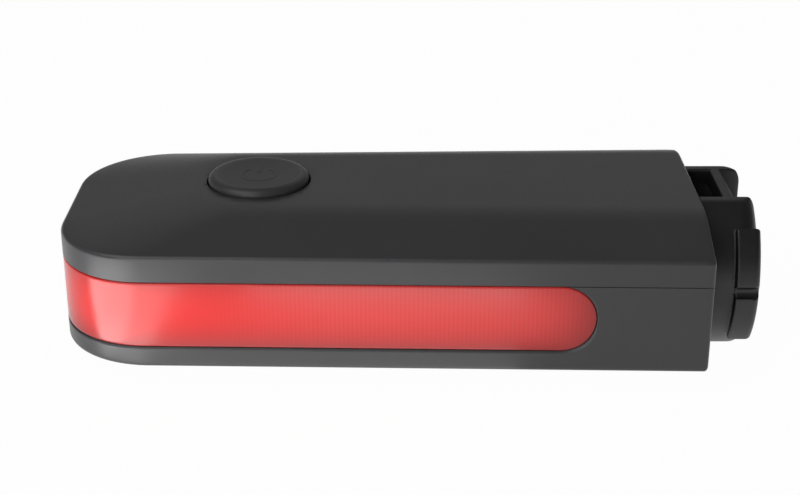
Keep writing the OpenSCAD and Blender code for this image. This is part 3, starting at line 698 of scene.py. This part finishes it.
# %% Sizes of the mount
BOSS_R, BOSS_FLAT, BOSS_RIM = 13.2, 11.2, 2.6
TAB_R, TAB_T, TAB_RIM, TAB_HALF_A = 14.2, 3.4, 0.9, np.radians(38)
DETENT_R = 0.9
CORD_HALF, CORD_LOW = 5.3, 5.0
CORD_BAR_X, CORD_BAR_HALF, CORD_BAR_LOW = END_X + 4.225, 0.775, 8.4
MOUNT_SCREWS = [(8.2, -4.0), (0.0, -7.6)]
MOUNT_SEAT = 3.0
SOFT, FINE = 0.3, 0.15


def mount_field(x, y, z):
    """Distance to the mount: boss and tabs joined, less the cord's slot, the grooves and the recesses."""
    radius = np.hypot(y, z)
    boss = meet(SOFT, meet(BOSS_RIM, radius - BOSS_R, x), np.abs(z) - BOSS_FLAT)
    boss = np.maximum(boss, END_X - x)
    past_side = np.abs(z) * np.cos(TAB_HALF_A) - np.abs(y) * np.sin(TAB_HALF_A)
    tab = meet(SOFT, meet(TAB_RIM, radius - TAB_R, x), past_side)
    tab = meet(FINE, tab, -TAB_T - x)
    groove = np.hypot(np.abs(y) - TAB_R, z) - DETENT_R
    form = join(FINE, boss, meet(FINE, tab, -groove))
    slot_room = np.maximum(np.abs(y) - CORD_HALF, CORD_LOW - z)
    cord_bar = meet(SOFT, np.abs(x - CORD_BAR_X) - CORD_BAR_HALF, CORD_BAR_LOW - z)
    form = meet(SOFT, form, -np.maximum(slot_room, -cord_bar))
    for at_y, at_z in MOUNT_SCREWS:
        recess = np.maximum(np.hypot(np.abs(y) - at_y, z - at_z) - HEAD_HOLE_R, -MOUNT_SEAT - x)
        form = meet(FINE, form, -recess)
    return form


# %% Build the mount
MOUNT_CELL = 0.22
mount = level_piece("mount_body", mount_field, "twist_mount", MOUNT_CELL)
belongs(mount, "housing", "twist_mount")

# %% [markdown]
# ## The port flap and its anchor
# The flap is a soft plate with a plug behind it that fills the mouth of the charging socket. A strap
# runs from it to a round bead on the line that it swings about, and the anchor next to that line is
# pushed into the shell. Soft rubber comes out of its mould with rounder edges than hard plastic, so both
# are made from distances too.

# %% Build the flap and the anchor
FLAP_T, STRAP_HALF = 1.15, 3.5
FLAP_MID_Z = box_mm("port_flap")[0, 2] + FLAP_T / 2
PLATE_X, PLATE_HALF, PLATE_R = PORT_X - 0.7875, (3.1625, 6.6), 1.5
HINGE_X = PORT_X + 3.375
PLUG_HALF, PLUG_R, PLUG_TOP = (1.4, 4.27), 1.2, -9.8
RUBBER, FLAP_CELL = 0.3, 0.14


def flap_field(x, y, z):
    """Distance to the flap: plate, strap with its bead, and plug."""
    thick = np.abs(z - FLAP_MID_Z) - FLAP_T / 2
    plate = meet(RUBBER, rectangle(x - PLATE_X, y, PLATE_HALF, PLATE_R), thick)
    strap = meet(FINE, meet(FINE, np.abs(y) - STRAP_HALF, thick), np.maximum(PORT_X - x, x - HINGE_X))
    bead = meet(FINE, np.hypot(x - HINGE_X, z - FLAP_MID_Z) - FLAP_T / 2, np.abs(y) - STRAP_HALF)
    plug_ends = np.maximum(z - PLUG_TOP, FLAP_MID_Z - z)
    stopper = meet(RUBBER, rectangle(x - PORT_X, y, PLUG_HALF, PLUG_R), plug_ends)
    return join(FINE, join(FINE, plate, np.minimum(strap, bead)), stopper)


anchor_low, anchor_high = box_mm("flap_anchor")
ANCHOR_HALF_X, ANCHOR_TOP = 1.5, -BAY_Z


def anchor_field(x, y, z):
    """Distance to the anchor: a block in its bay with a stem up through the shell."""
    block = meet(RUBBER, rectangle(x - ANCHOR_X, y, (ANCHOR_HALF_X, STRAP_HALF), RUBBER), anchor_low[2] - z)
    block = meet(FINE, block, z - ANCHOR_TOP)
    stem_ends = np.maximum(z - anchor_high[2], FLAP_MID_Z - z)
    stem = meet(FINE, np.hypot(x - ANCHOR_X, y) - ANCHOR_STEM_R, stem_ends)
    return np.minimum(block, stem)


flap = level_piece("flap_rubber", flap_field, "port_flap", FLAP_CELL)
anchor = level_piece("anchor_rubber", anchor_field, "flap_anchor", FLAP_CELL)
belongs(flap, "flap", "port_flap")
belongs(anchor, "housing", "flap_anchor")

# %% [markdown]
# ## Finishes
# A finish is a small tree of nodes round one Principled shader. Colours are written as they look on a
# screen and turned to linear light by one function. One more function adds a node, with its settings and
# what goes into it. A pattern's scale comes from a real size in millimetres: a noise with scale s has
# features about 1/s wide, in metres, and a wave with scale s has a period of a tenth of pi over s.


# %% Helpers for finishes
def linear(code):
    """sRGB hex to linear red, green, blue and alpha 1."""
    rgb = np.array([int(code[i : i + 2], 16) for i in (1, 3, 5)]) / 255
    return (*np.where(rgb <= 0.04045, rgb / 12.92, ((rgb + 0.055) / 1.055) ** 2.4), 1.0)


def sized(place, size_mm, **more):
    """Inputs of a pattern whose features are size_mm wide: its scale is one over that size in metres."""
    return {"Vector": place, "Scale": 1 / (size_mm * MM), **more}


WAVE = np.pi / 10


def source(value):
    """The first output in use, if the value is a node; otherwise the value itself."""
    if isinstance(value, bpy.types.Node):
        return next(output for output in value.outputs if output.enabled)
    return value


def add(tree, kind, links=None, **settings):
    """Adds a node: settings are its properties, links its inputs. An input takes a value, an output or a
    node, which stands for its first output."""
    made = tree.nodes.new("ShaderNode" + kind)
    for name, value in settings.items():
        setattr(made, name, value)
    for name, value in (links or {}).items():
        value = source(value)
        if isinstance(value, bpy.types.NodeSocket):
            tree.links.new(value, made.inputs[name])
        else:
            made.inputs[name].default_value = value
    return made


# %% Making a finish
def shader_input(tree, name):
    """An input of a tree's Principled shader, by its name with underscores for spaces."""
    return tree.nodes["Principled BSDF"].inputs[name.replace("_", " ")]


def finish_of(name, pieces, **values):
    """Makes a material with one Principled shader and gives it to pieces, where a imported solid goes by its
    name. Returns the material's tree and the object's coordinates."""
    material = bpy.data.materials.new(name)
    material.use_nodes = True
    tree = material.node_tree
    for socket, value in values.items():
        shader_input(tree, socket).default_value = value
    objects = [nodes.get(piece, piece) for piece in pieces]
    for obj in objects:
        if not obj.material_slots:
            obj.data.materials.append(material)
        for held in obj.material_slots:
            held.material = material
    print(name, "on", [obj.name for obj in objects])
    return tree, add(tree, "TexCoord").outputs["Object"]


def plug(tree, **inputs):
    """Links outputs or nodes to the shader's inputs of those names, in place of earlier links."""
    for socket, value in inputs.items():
        tree.links.new(source(value), shader_input(tree, socket))


def patterned(tree, colours, roughness, relief=None):
    """Lets patterns drive a shader, and gives its mixed colour and its roughness. Colours and roughness are
    a pattern, the value where it is 0 and the value where it is 1; relief is a pattern, a strength and a
    depth in millimetres."""
    pattern, low, high = colours
    mixed = add(tree, "Mix", {"Factor": pattern, "A": linear(low), "B": linear(high)}, data_type="RGBA")
    pattern, low, high = roughness
    matt = add(tree, "MapRange", {"Value": pattern, "To Min": low, "To Max": high})
    plug(tree, Base_Color=mixed, Roughness=matt)
    if relief:
        pattern, strength, depth = relief
        bump = add(tree, "Bump", {"Height": pattern, "Strength": strength, "Distance": depth * MM})
        plug(tree, Normal=bump)
    return mixed, matt


# %% [markdown]
# ### Housing
# The shells are ABS, moulded in a tool whose faces were spark-eroded to a fine satin grain. The eye sees
# an even charcoal with a soft sheen and no mirror image. Where hands and bags rub, along the belt's edge
# and the mount end's edge, the grain wears a little smoother and lighter. The real grain is about 0.05 mm
# wide; it is drawn at 0.3 mm so that it shows at all. A noise stays mostly between 0.3 and 0.7, so it is
# stretched where the whole range is wanted.

# %% ABS with a spark-eroded grain
STRETCH = {"From Min": 0.3, "From Max": 0.7}
WEAR, WEAR_MATT = 0.3, -0.25
tree, place = finish_of("abs_spark_eroded", [cover, shell], IOR=1.53, Specular_IOR_Level=0.42)
grain = add(tree, "TexNoise", sized(place, 0.3, Detail=3.0, Roughness=0.6))
cloud = add(tree, "TexNoise", sized(place, 11, Detail=4.0, Roughness=0.6))
grains, clouds = (add(tree, "MapRange", {"Value": noise, **STRETCH}) for noise in (grain, cloud))
tone, matt = patterned(tree, (clouds, "#3b3b3c", "#3f3e40"), (grains, 0.33, 0.43), (grain, 0.16, 0.03))
rubbed = add(tree, "Attribute", attribute_name="share").outputs["Fac"]
worn = add(tree, "Math", {0: rubbed, 1: WEAR}, operation="MULTIPLY")
colour = add(tree, "Mix", {"Factor": worn, "A": tone, "B": linear("#4d4c4f")}, data_type="RGBA")
smoother = add(tree, "Math", {0: worn, 1: WEAR_MATT, 2: matt}, operation="MULTIPLY_ADD")
plug(tree, Base_Color=colour, Roughness=smoother)

# %% [markdown]
# ### Button
# The button is the same ABS from a smoother tool: a finer satin, a shade darker, with a brighter rim
# where the thumb polishes it.

# %% ABS with a fine satin
THUMB_MATT = -0.08
tree, place = finish_of("abs_fine_satin", [button], IOR=1.53, Specular_IOR_Level=0.45)
grain = add(tree, "TexNoise", sized(place, 0.22, Detail=2.0))
_, matt = patterned(tree, (grain, "#363637", "#3d3d3f"), (grain, 0.36, 0.48), (grain, 0.12, 0.02))
rubbed = add(tree, "Attribute", attribute_name="share").outputs["Fac"]
plug(tree, Roughness=add(tree, "Math", {0: rubbed, 1: THUMB_MATT, 2: matt}, operation="MULTIPLY_ADD"))

# %% [markdown]
# ### Lens
# The lens is polycarbonate, dyed red through, with a soft polish, so it mirrors the white ground under it
# as a haze and lets some light through to the guide behind. Its red is a painted glow. It is painted bright
# where the milky guide stands close behind it, and painted deeper, as shade, at its edges and round ends.
# Along the straight sides the guide's upright flutes, 0.6 mm apart, show through as fine pale lines. They
# lie under the surface, so they are drawn as a change of colour and not as relief. How pale they are
# follows the painted glow.

# %% Polycarbonate, dyed red
FLUTE, FLUTES_FROM, FLUTES_FULL = 0.6, -80, -60
tree, place = finish_of(
    "polycarbonate_red", [lens],
    IOR=1.585, Transmission_Weight=0.08, Specular_IOR_Level=0.4,
)
flow = add(tree, "TexNoise", sized(place, 6, Detail=3.0))
painted_glow = add(tree, "Attribute", attribute_name="share").outputs["Fac"]
# Painted glow and shade: deep red where the share is low, bright red where it is high.
painted_glow_red, _ = patterned(tree, (painted_glow, "#a62423", "#f52c28"), (flow, 0.2, 0.27))
flutes = add(tree, "TexWave", sized(place, FLUTE / WAVE)).outputs["Fac"]
lines = add(tree, "MapRange", {"Value": flutes, "To Min": 0.16, "To Max": 0.29})
along = add(tree, "MapRange", {
    "Value": add(tree, "SeparateXYZ", {0: place}).outputs["X"],
    "From Min": FLUTES_FROM * MM, "From Max": FLUTES_FULL * MM,
})
# Pale flute lines, only along the sides, scaled by the painted glow.
milky = add(tree, "Math", {0: lines, 1: along}, operation="MULTIPLY")
milky = add(tree, "Math", {0: milky, 1: painted_glow}, operation="MULTIPLY")
colour = add(tree, "Mix", {"Factor": milky, "A": painted_glow_red, "B": linear("#f57d78")}, data_type="RGBA")
plug(tree, Base_Color=colour)

# %% [markdown]
# ### Light guide
# Behind the lens stands a strip of milky polycarbonate whose outer face is a row of upright flutes. It
# spreads the light of the LEDs into an even band.

# %% Milky polycarbonate
tree, place = finish_of("polycarbonate_milky", ["light_guide"], IOR=1.585, Transmission_Weight=0.25)
haze = add(tree, "TexNoise", sized(place, 2.5, Detail=4.0))
patterned(tree, (haze, "#f3e6e3", "#fbf4f2"), (haze, 0.28, 0.42))

# %% [markdown]
# ### Mount
# The mount carries the whole light on a bump, so it is nylon filled with short glass fibres. Moulded
# black, it has a half gloss, and the fibres near the skin leave faint streaks along the flow, which here
# runs along the mount's axis. The streaks are drawn 0.35 mm wide, about three times the real width.

# %% Glass-filled nylon
FIBRE_DRAW = (0.25, 1.0, 1.0)
tree, place = finish_of("nylon_glass_filled", [mount], IOR=1.53, Specular_IOR_Level=0.48)
along = add(tree, "Mapping", {"Vector": place, "Scale": FIBRE_DRAW})
fibre = add(tree, "TexNoise", sized(along, 0.35, Detail=4.0))
patchy = add(tree, "TexNoise", sized(place, 5, Detail=2.0))
patches = add(tree, "MapRange", {"Value": patchy, **STRETCH})
patterned(tree, (fibre, "#131314", "#1d1d1f"), (patches, 0.34, 0.46), (fibre, 0.14, 0.03))

# %% [markdown]
# ### Silicone
# The flap, its anchor, the seal between the shells and the button's gasket are silicone rubber: matt,
# nearly black, with a dry bloom that greys it at a glancing angle. Sheen gives that bloom.

# %% Silicone rubber
tree, place = finish_of(
    "silicone_rubber", [flap, anchor, "cover_seal", "button_gasket"],
    IOR=1.41, Specular_IOR_Level=0.35, Sheen_Weight=0.12, Sheen_Roughness=0.5,
)
bloom = add(tree, "TexNoise", sized(place, 1.6, Detail=5.0, Roughness=0.65))
patterned(tree, (bloom, "#232325", "#2d2d30"), (bloom, 0.55, 0.75), (bloom, 0.1, 0.04))

# %% [markdown]
# ### Metals
# Screws, the switch's can and the shell of the socket are plated steel, drawn or headed, with fine lines
# along X and a cool, slightly cloudy shine. The threaded inserts are brass with a crossed knurl that
# grips the plastic: two sets of slanted ridges, half a millimetre apart.

# %% Plated steel
STEEL_DRAW = (0.06, 1.0, 1.0)
tree, place = finish_of(
    "steel_zinc_plated", ["mount_screws", "case_screws", "switch_body", "usb_socket"],
    Metallic=1.0,
)
drawn = add(tree, "Mapping", {"Vector": place, "Scale": STEEL_DRAW})
lines = add(tree, "TexNoise", sized(drawn, 0.12, Detail=3.0))
tarnish = add(tree, "TexNoise", sized(place, 1.5, Detail=3.0))
patterned(tree, (tarnish, "#a9adb1", "#c4c7ca"), (lines, 0.22, 0.42), (lines, 0.1, 0.01))

# %% Knurled brass
KNURL, SLANTS = 0.5, (45, -45)
tree, place = finish_of("brass_knurled", ["mount_inserts", "case_inserts"], Metallic=1.0)
ridges = {}
for side, slant in enumerate(np.radians(SLANTS)):
    turned = add(tree, "Mapping", {"Vector": place, "Rotation": (slant, slant, slant)})
    wave = add(tree, "TexWave", sized(turned, KNURL / WAVE))
    ridges[side] = wave.outputs["Fac"]
knurl = add(tree, "Math", ridges, operation="MINIMUM")
patterned(tree, (knurl, "#a57c38", "#d3a95c"), (knurl, 0.42, 0.26), (knurl, 0.4, 0.1))

# %% [markdown]
# ### Circuit boards and what sits on them
# The boards are glass laminate under green solder mask, with copper tracks that lift the mask and lighten
# it; a brick pattern gives tracks that run straight and turn square. Chips, the socket's tongue and the
# switch's plunger are black moulded epoxy and nylon, dull and finely speckled. An LED is a white moulded
# frame whose upright face holds a yellow phosphor window.

# %% Solder mask over copper
tree, place = finish_of("laminate_solder_mask", ["main_board", "cell_guard_board"], IOR=1.55)
tracks = add(tree, "TexBrick", {
    **sized(place, 4), "Mortar Size": 0.06, "Mortar Smooth": 0.3, "Brick Width": 1.4,
    "Color1": linear("#0f4428"), "Color2": linear("#124b2d"), "Mortar": linear("#1f6a41"),
})
weave = add(tree, "TexNoise", sized(place, 0.4, Detail=2.0))
matt = add(tree, "MapRange", {"Value": weave, "To Min": 0.25, "To Max": 0.4})
relief = add(tree, "Bump", {"Height": tracks.outputs["Fac"], "Strength": 0.3, "Distance": 0.05 * MM})
plug(tree, Base_Color=tracks, Roughness=matt, Normal=relief)

# %% Black moulding compound
tree, place = finish_of(
    "epoxy_moulded_black", ["board_chips", "usb_tongue", "switch_plunger"],
    IOR=1.55, Specular_IOR_Level=0.4,
)
speckle = add(tree, "TexNoise", sized(place, 0.15, Detail=3.0))
patterned(tree, (speckle, "#17181a", "#242527"), (speckle, 0.45, 0.65))

# %% LED packages
UPRIGHT = 0.5
tree, place = finish_of("led_moulded_white", ["leds"], IOR=1.5, Specular_IOR_Level=0.5)
dust = add(tree, "TexNoise", sized(place, 0.6, Detail=3.0))
window, _ = patterned(tree, (dust, "#f0d67a", "#f7e49a"), (dust, 0.2, 0.4))
facets = add(tree, "SeparateXYZ", {0: add(tree, "NewGeometry").outputs["Normal"]})
rise = add(tree, "Math", {0: facets.outputs["Z"]}, operation="ABSOLUTE")
upright = add(tree, "Math", {0: rise, 1: UPRIGHT}, operation="LESS_THAN")
face = add(tree, "Mix", {"Factor": upright, "A": linear("#f3f1ea"), "B": window}, data_type="RGBA")
plug(tree, Base_Color=face)

# %% [markdown]
# ### Battery
# The cell is a pouch of aluminium laminate, silvery with soft creases. It lies on a pad of open foam, and
# two leads in PVC run from it to the board, red on the near side and black on the far side.

# %% Foil pouch
tree, place = finish_of("aluminium_laminate", ["battery_cell"], Metallic=0.9)
crease = add(tree, "TexNoise", sized(place, 4, Detail=5.0, Distortion=1.2))
patterned(tree, (crease, "#aeb3b8", "#ced2d5"), (crease, 0.25, 0.45), (crease, 0.35, 0.3))

# %% Open foam
tree, place = finish_of("polyurethane_foam", ["battery_pad"], IOR=1.45, Specular_IOR_Level=0.2)
pores = add(tree, "TexVoronoi", sized(place, 0.6))
patterned(tree, (pores, "#17181a", "#3a3b3f"), (pores, 0.8, 0.95), (pores, 0.7, 0.3))

# %% Lead insulation
tree, place = finish_of("pvc_insulation", ["battery_leads"], IOR=1.53)
scuff = add(tree, "TexNoise", sized(place, 0.8, Detail=4.0))
red, _ = patterned(tree, (scuff, "#a81c1c", "#c22a28"), (scuff, 0.3, 0.5))
across = add(tree, "SeparateXYZ", {0: place}).outputs["Y"]
far_side = add(tree, "Math", {0: across, 1: 0.0}, operation="GREATER_THAN")
both = add(tree, "Mix", {"Factor": far_side, "A": red, "B": linear("#1a1a1b")}, data_type="RGBA")
plug(tree, Base_Color=both)

# %% [markdown]
# ## Camera
# The photograph looks down at the near side by about 24 degrees from a little over 20 centimetres away.
# The place and the lens were fitted to the outline, the creases and the ends of the lens band.

# %% Camera
CAMERA_AT, CAMERA_PITCH, CAMERA_LENS = (-50.5, -217.84, 96.5), 66.3, 72.33
SENSOR_WIDTH, CLIP_START = 36.0, 10.0
camera_data = bpy.data.cameras.new("camera")
camera_data.lens, camera_data.sensor_width = CAMERA_LENS, SENSOR_WIDTH
camera_data.sensor_fit = "HORIZONTAL"
camera_data.clip_start = CLIP_START * MM
camera = into_scene("camera", camera_data)
camera.location = [value * MM for value in CAMERA_AT]
camera.rotation_euler = (np.radians(CAMERA_PITCH), 0, 0)
bpy.context.scene.camera = camera
print("camera at", CAMERA_AT, "mm, looking down by", round(90 - CAMERA_PITCH, 1), "degrees")

# %% [markdown]
# ## Floor and surroundings
# The light lies on white paper. In the photograph the paper is pure white, so for rays from the camera,
# and for mirror images and views through the lens, most of the paper's colour is a steady white. The
# rest is true paper that takes the shadow. From below the paper lets the view through. The surroundings
# are pale near the ground, as in a tent of white cloth, and greyer overhead.

# %% Paper floor
FLOOR_HALF, STEADY_WHITE = 6000.0, 0.98
FLOOR_Z = cad_box[0][2] / MM
span = np.linspace(-FLOOR_HALF, FLOOR_HALF, 2)
floor_grid = np.stack(np.meshgrid(span, span, [FLOOR_Z], indexing="ij"), -1)[:, :, 0]
floor = make_piece("floor", [facing(grid_patch(floor_grid), np.array([0, 0, 2 * FLOOR_Z]))])
tree, place = finish_of("paper_white", [floor], Specular_IOR_Level=0.2)
pulp = add(tree, "TexNoise", sized(place, 3, Detail=3.0))
patterned(tree, (pulp, "#f3f3f3", "#f7f7f7"), (pulp, 0.85, 0.95))
path = add(tree, "LightPath")
seen = path.outputs["Is Camera Ray"]
for ray in ("Is Glossy Ray", "Is Transmission Ray"):
    seen = add(tree, "Math", {0: seen, 1: path.outputs[ray]}, operation="MAXIMUM")
steady = add(tree, "Math", {0: seen, 1: STEADY_WHITE}, operation="MULTIPLY")
white = add(tree, "Emission", {"Strength": 1.0})
front = add(tree, "MixShader", {0: steady, 1: tree.nodes["Principled BSDF"], 2: white})
below = add(tree, "NewGeometry").outputs["Backfacing"]
sides = add(tree, "MixShader", {0: below, 1: front, 2: add(tree, "BsdfTransparent")})
tree.links.new(sides.outputs[0], tree.nodes["Material Output"].inputs["Surface"])

# %% Surroundings
TENT_LOW, TENT_HIGH = 0.2, 0.15
TENT_FROM, TENT_TO = 0.08, 0.3
world = bpy.data.worlds.new("studio")
bpy.context.scene.world = world
world.use_nodes = True
tree = world.node_tree
height = add(tree, "SeparateXYZ", {0: add(tree, "TexCoord").outputs["Generated"]})
level = add(tree, "MapRange", {
    "Value": height.outputs["Z"],
    "From Min": TENT_FROM, "From Max": TENT_TO, "To Min": TENT_LOW, "To Max": TENT_HIGH,
})
tree.nodes["Background"].inputs["Color"].default_value = (1, 1, 1, 1)
tree.links.new(level.outputs["Result"], tree.nodes["Background"].inputs["Strength"])
print("surroundings:", TENT_LOW, "near the ground,", TENT_HIGH, "overhead")

# %% [markdown]
# ## Lamps
# The photograph's light comes from the left and the front, low down: the belt is brighter than the top,
# and the tail's near corner carries a broad highlight. Upright walls seen from above mirror the ground, so
# four glowing cards that the camera does not see lie on it. The card at the corner is only mirrored,
# because its light would make the lens too bright round the tail. A small box at the left fills the near
# side, and three large soft boxes light the rest.

# %% Soft boxes and cards
AIM, STRAIGHT_UP = Vector((-50, 0, 0)), Vector((0, 0, 1))
CARD_RISE = 0.5
MIRRORED_ONLY = ("corner_card",)
CARDS = [
    ("corner_card", (-116, -41), (36, 38), 0.026),
    ("side_card", (-93, -44), (11, 36), 0.0041),
    ("front_card", (-54, -57), (44, 14), 0.0045),
    ("foot_card", (-70, -28), (72, 12), 0.0028),
]
BOXES = [
    ("left_fill", (-135, -115, 0), (70, 24), 0.012),
    ("front_left", (-260, -500, 100), (300, 200), 0.58),
    ("above_left", (-300, -220, 420), (400, 400), 0.85),
    ("back_high", (-50, 500, 350), (600, 400), 0.17),
]


def add_lamp(name, at, towards, size, power):
    """A glowing rectangle at a place in millimetres, facing a direction, that the camera does not see."""
    data = bpy.data.lights.new(name, "AREA")
    data.shape, data.energy = "RECTANGLE", power
    data.size, data.size_y = size[0] * MM, size[1] * MM
    lamp = into_scene(name, data)
    lamp.location = at * MM
    lamp.rotation_euler = towards.to_track_quat("-Z", "Y").to_euler()
    lamp.visible_camera = False
    lamp.visible_diffuse = name not in MIRRORED_ONLY


for name, plan, size, power in CARDS:
    add_lamp(name, Vector((*plan, FLOOR_Z + CARD_RISE)), STRAIGHT_UP, size, power)
for name, at, size, power in BOXES:
    add_lamp(name, Vector(at), AIM - Vector(at), size, power)
print("lamps:", [lamp[0] for lamp in CARDS + BOXES])

# %% Finish
bpy.context.scene.view_settings.view_transform = "Standard"
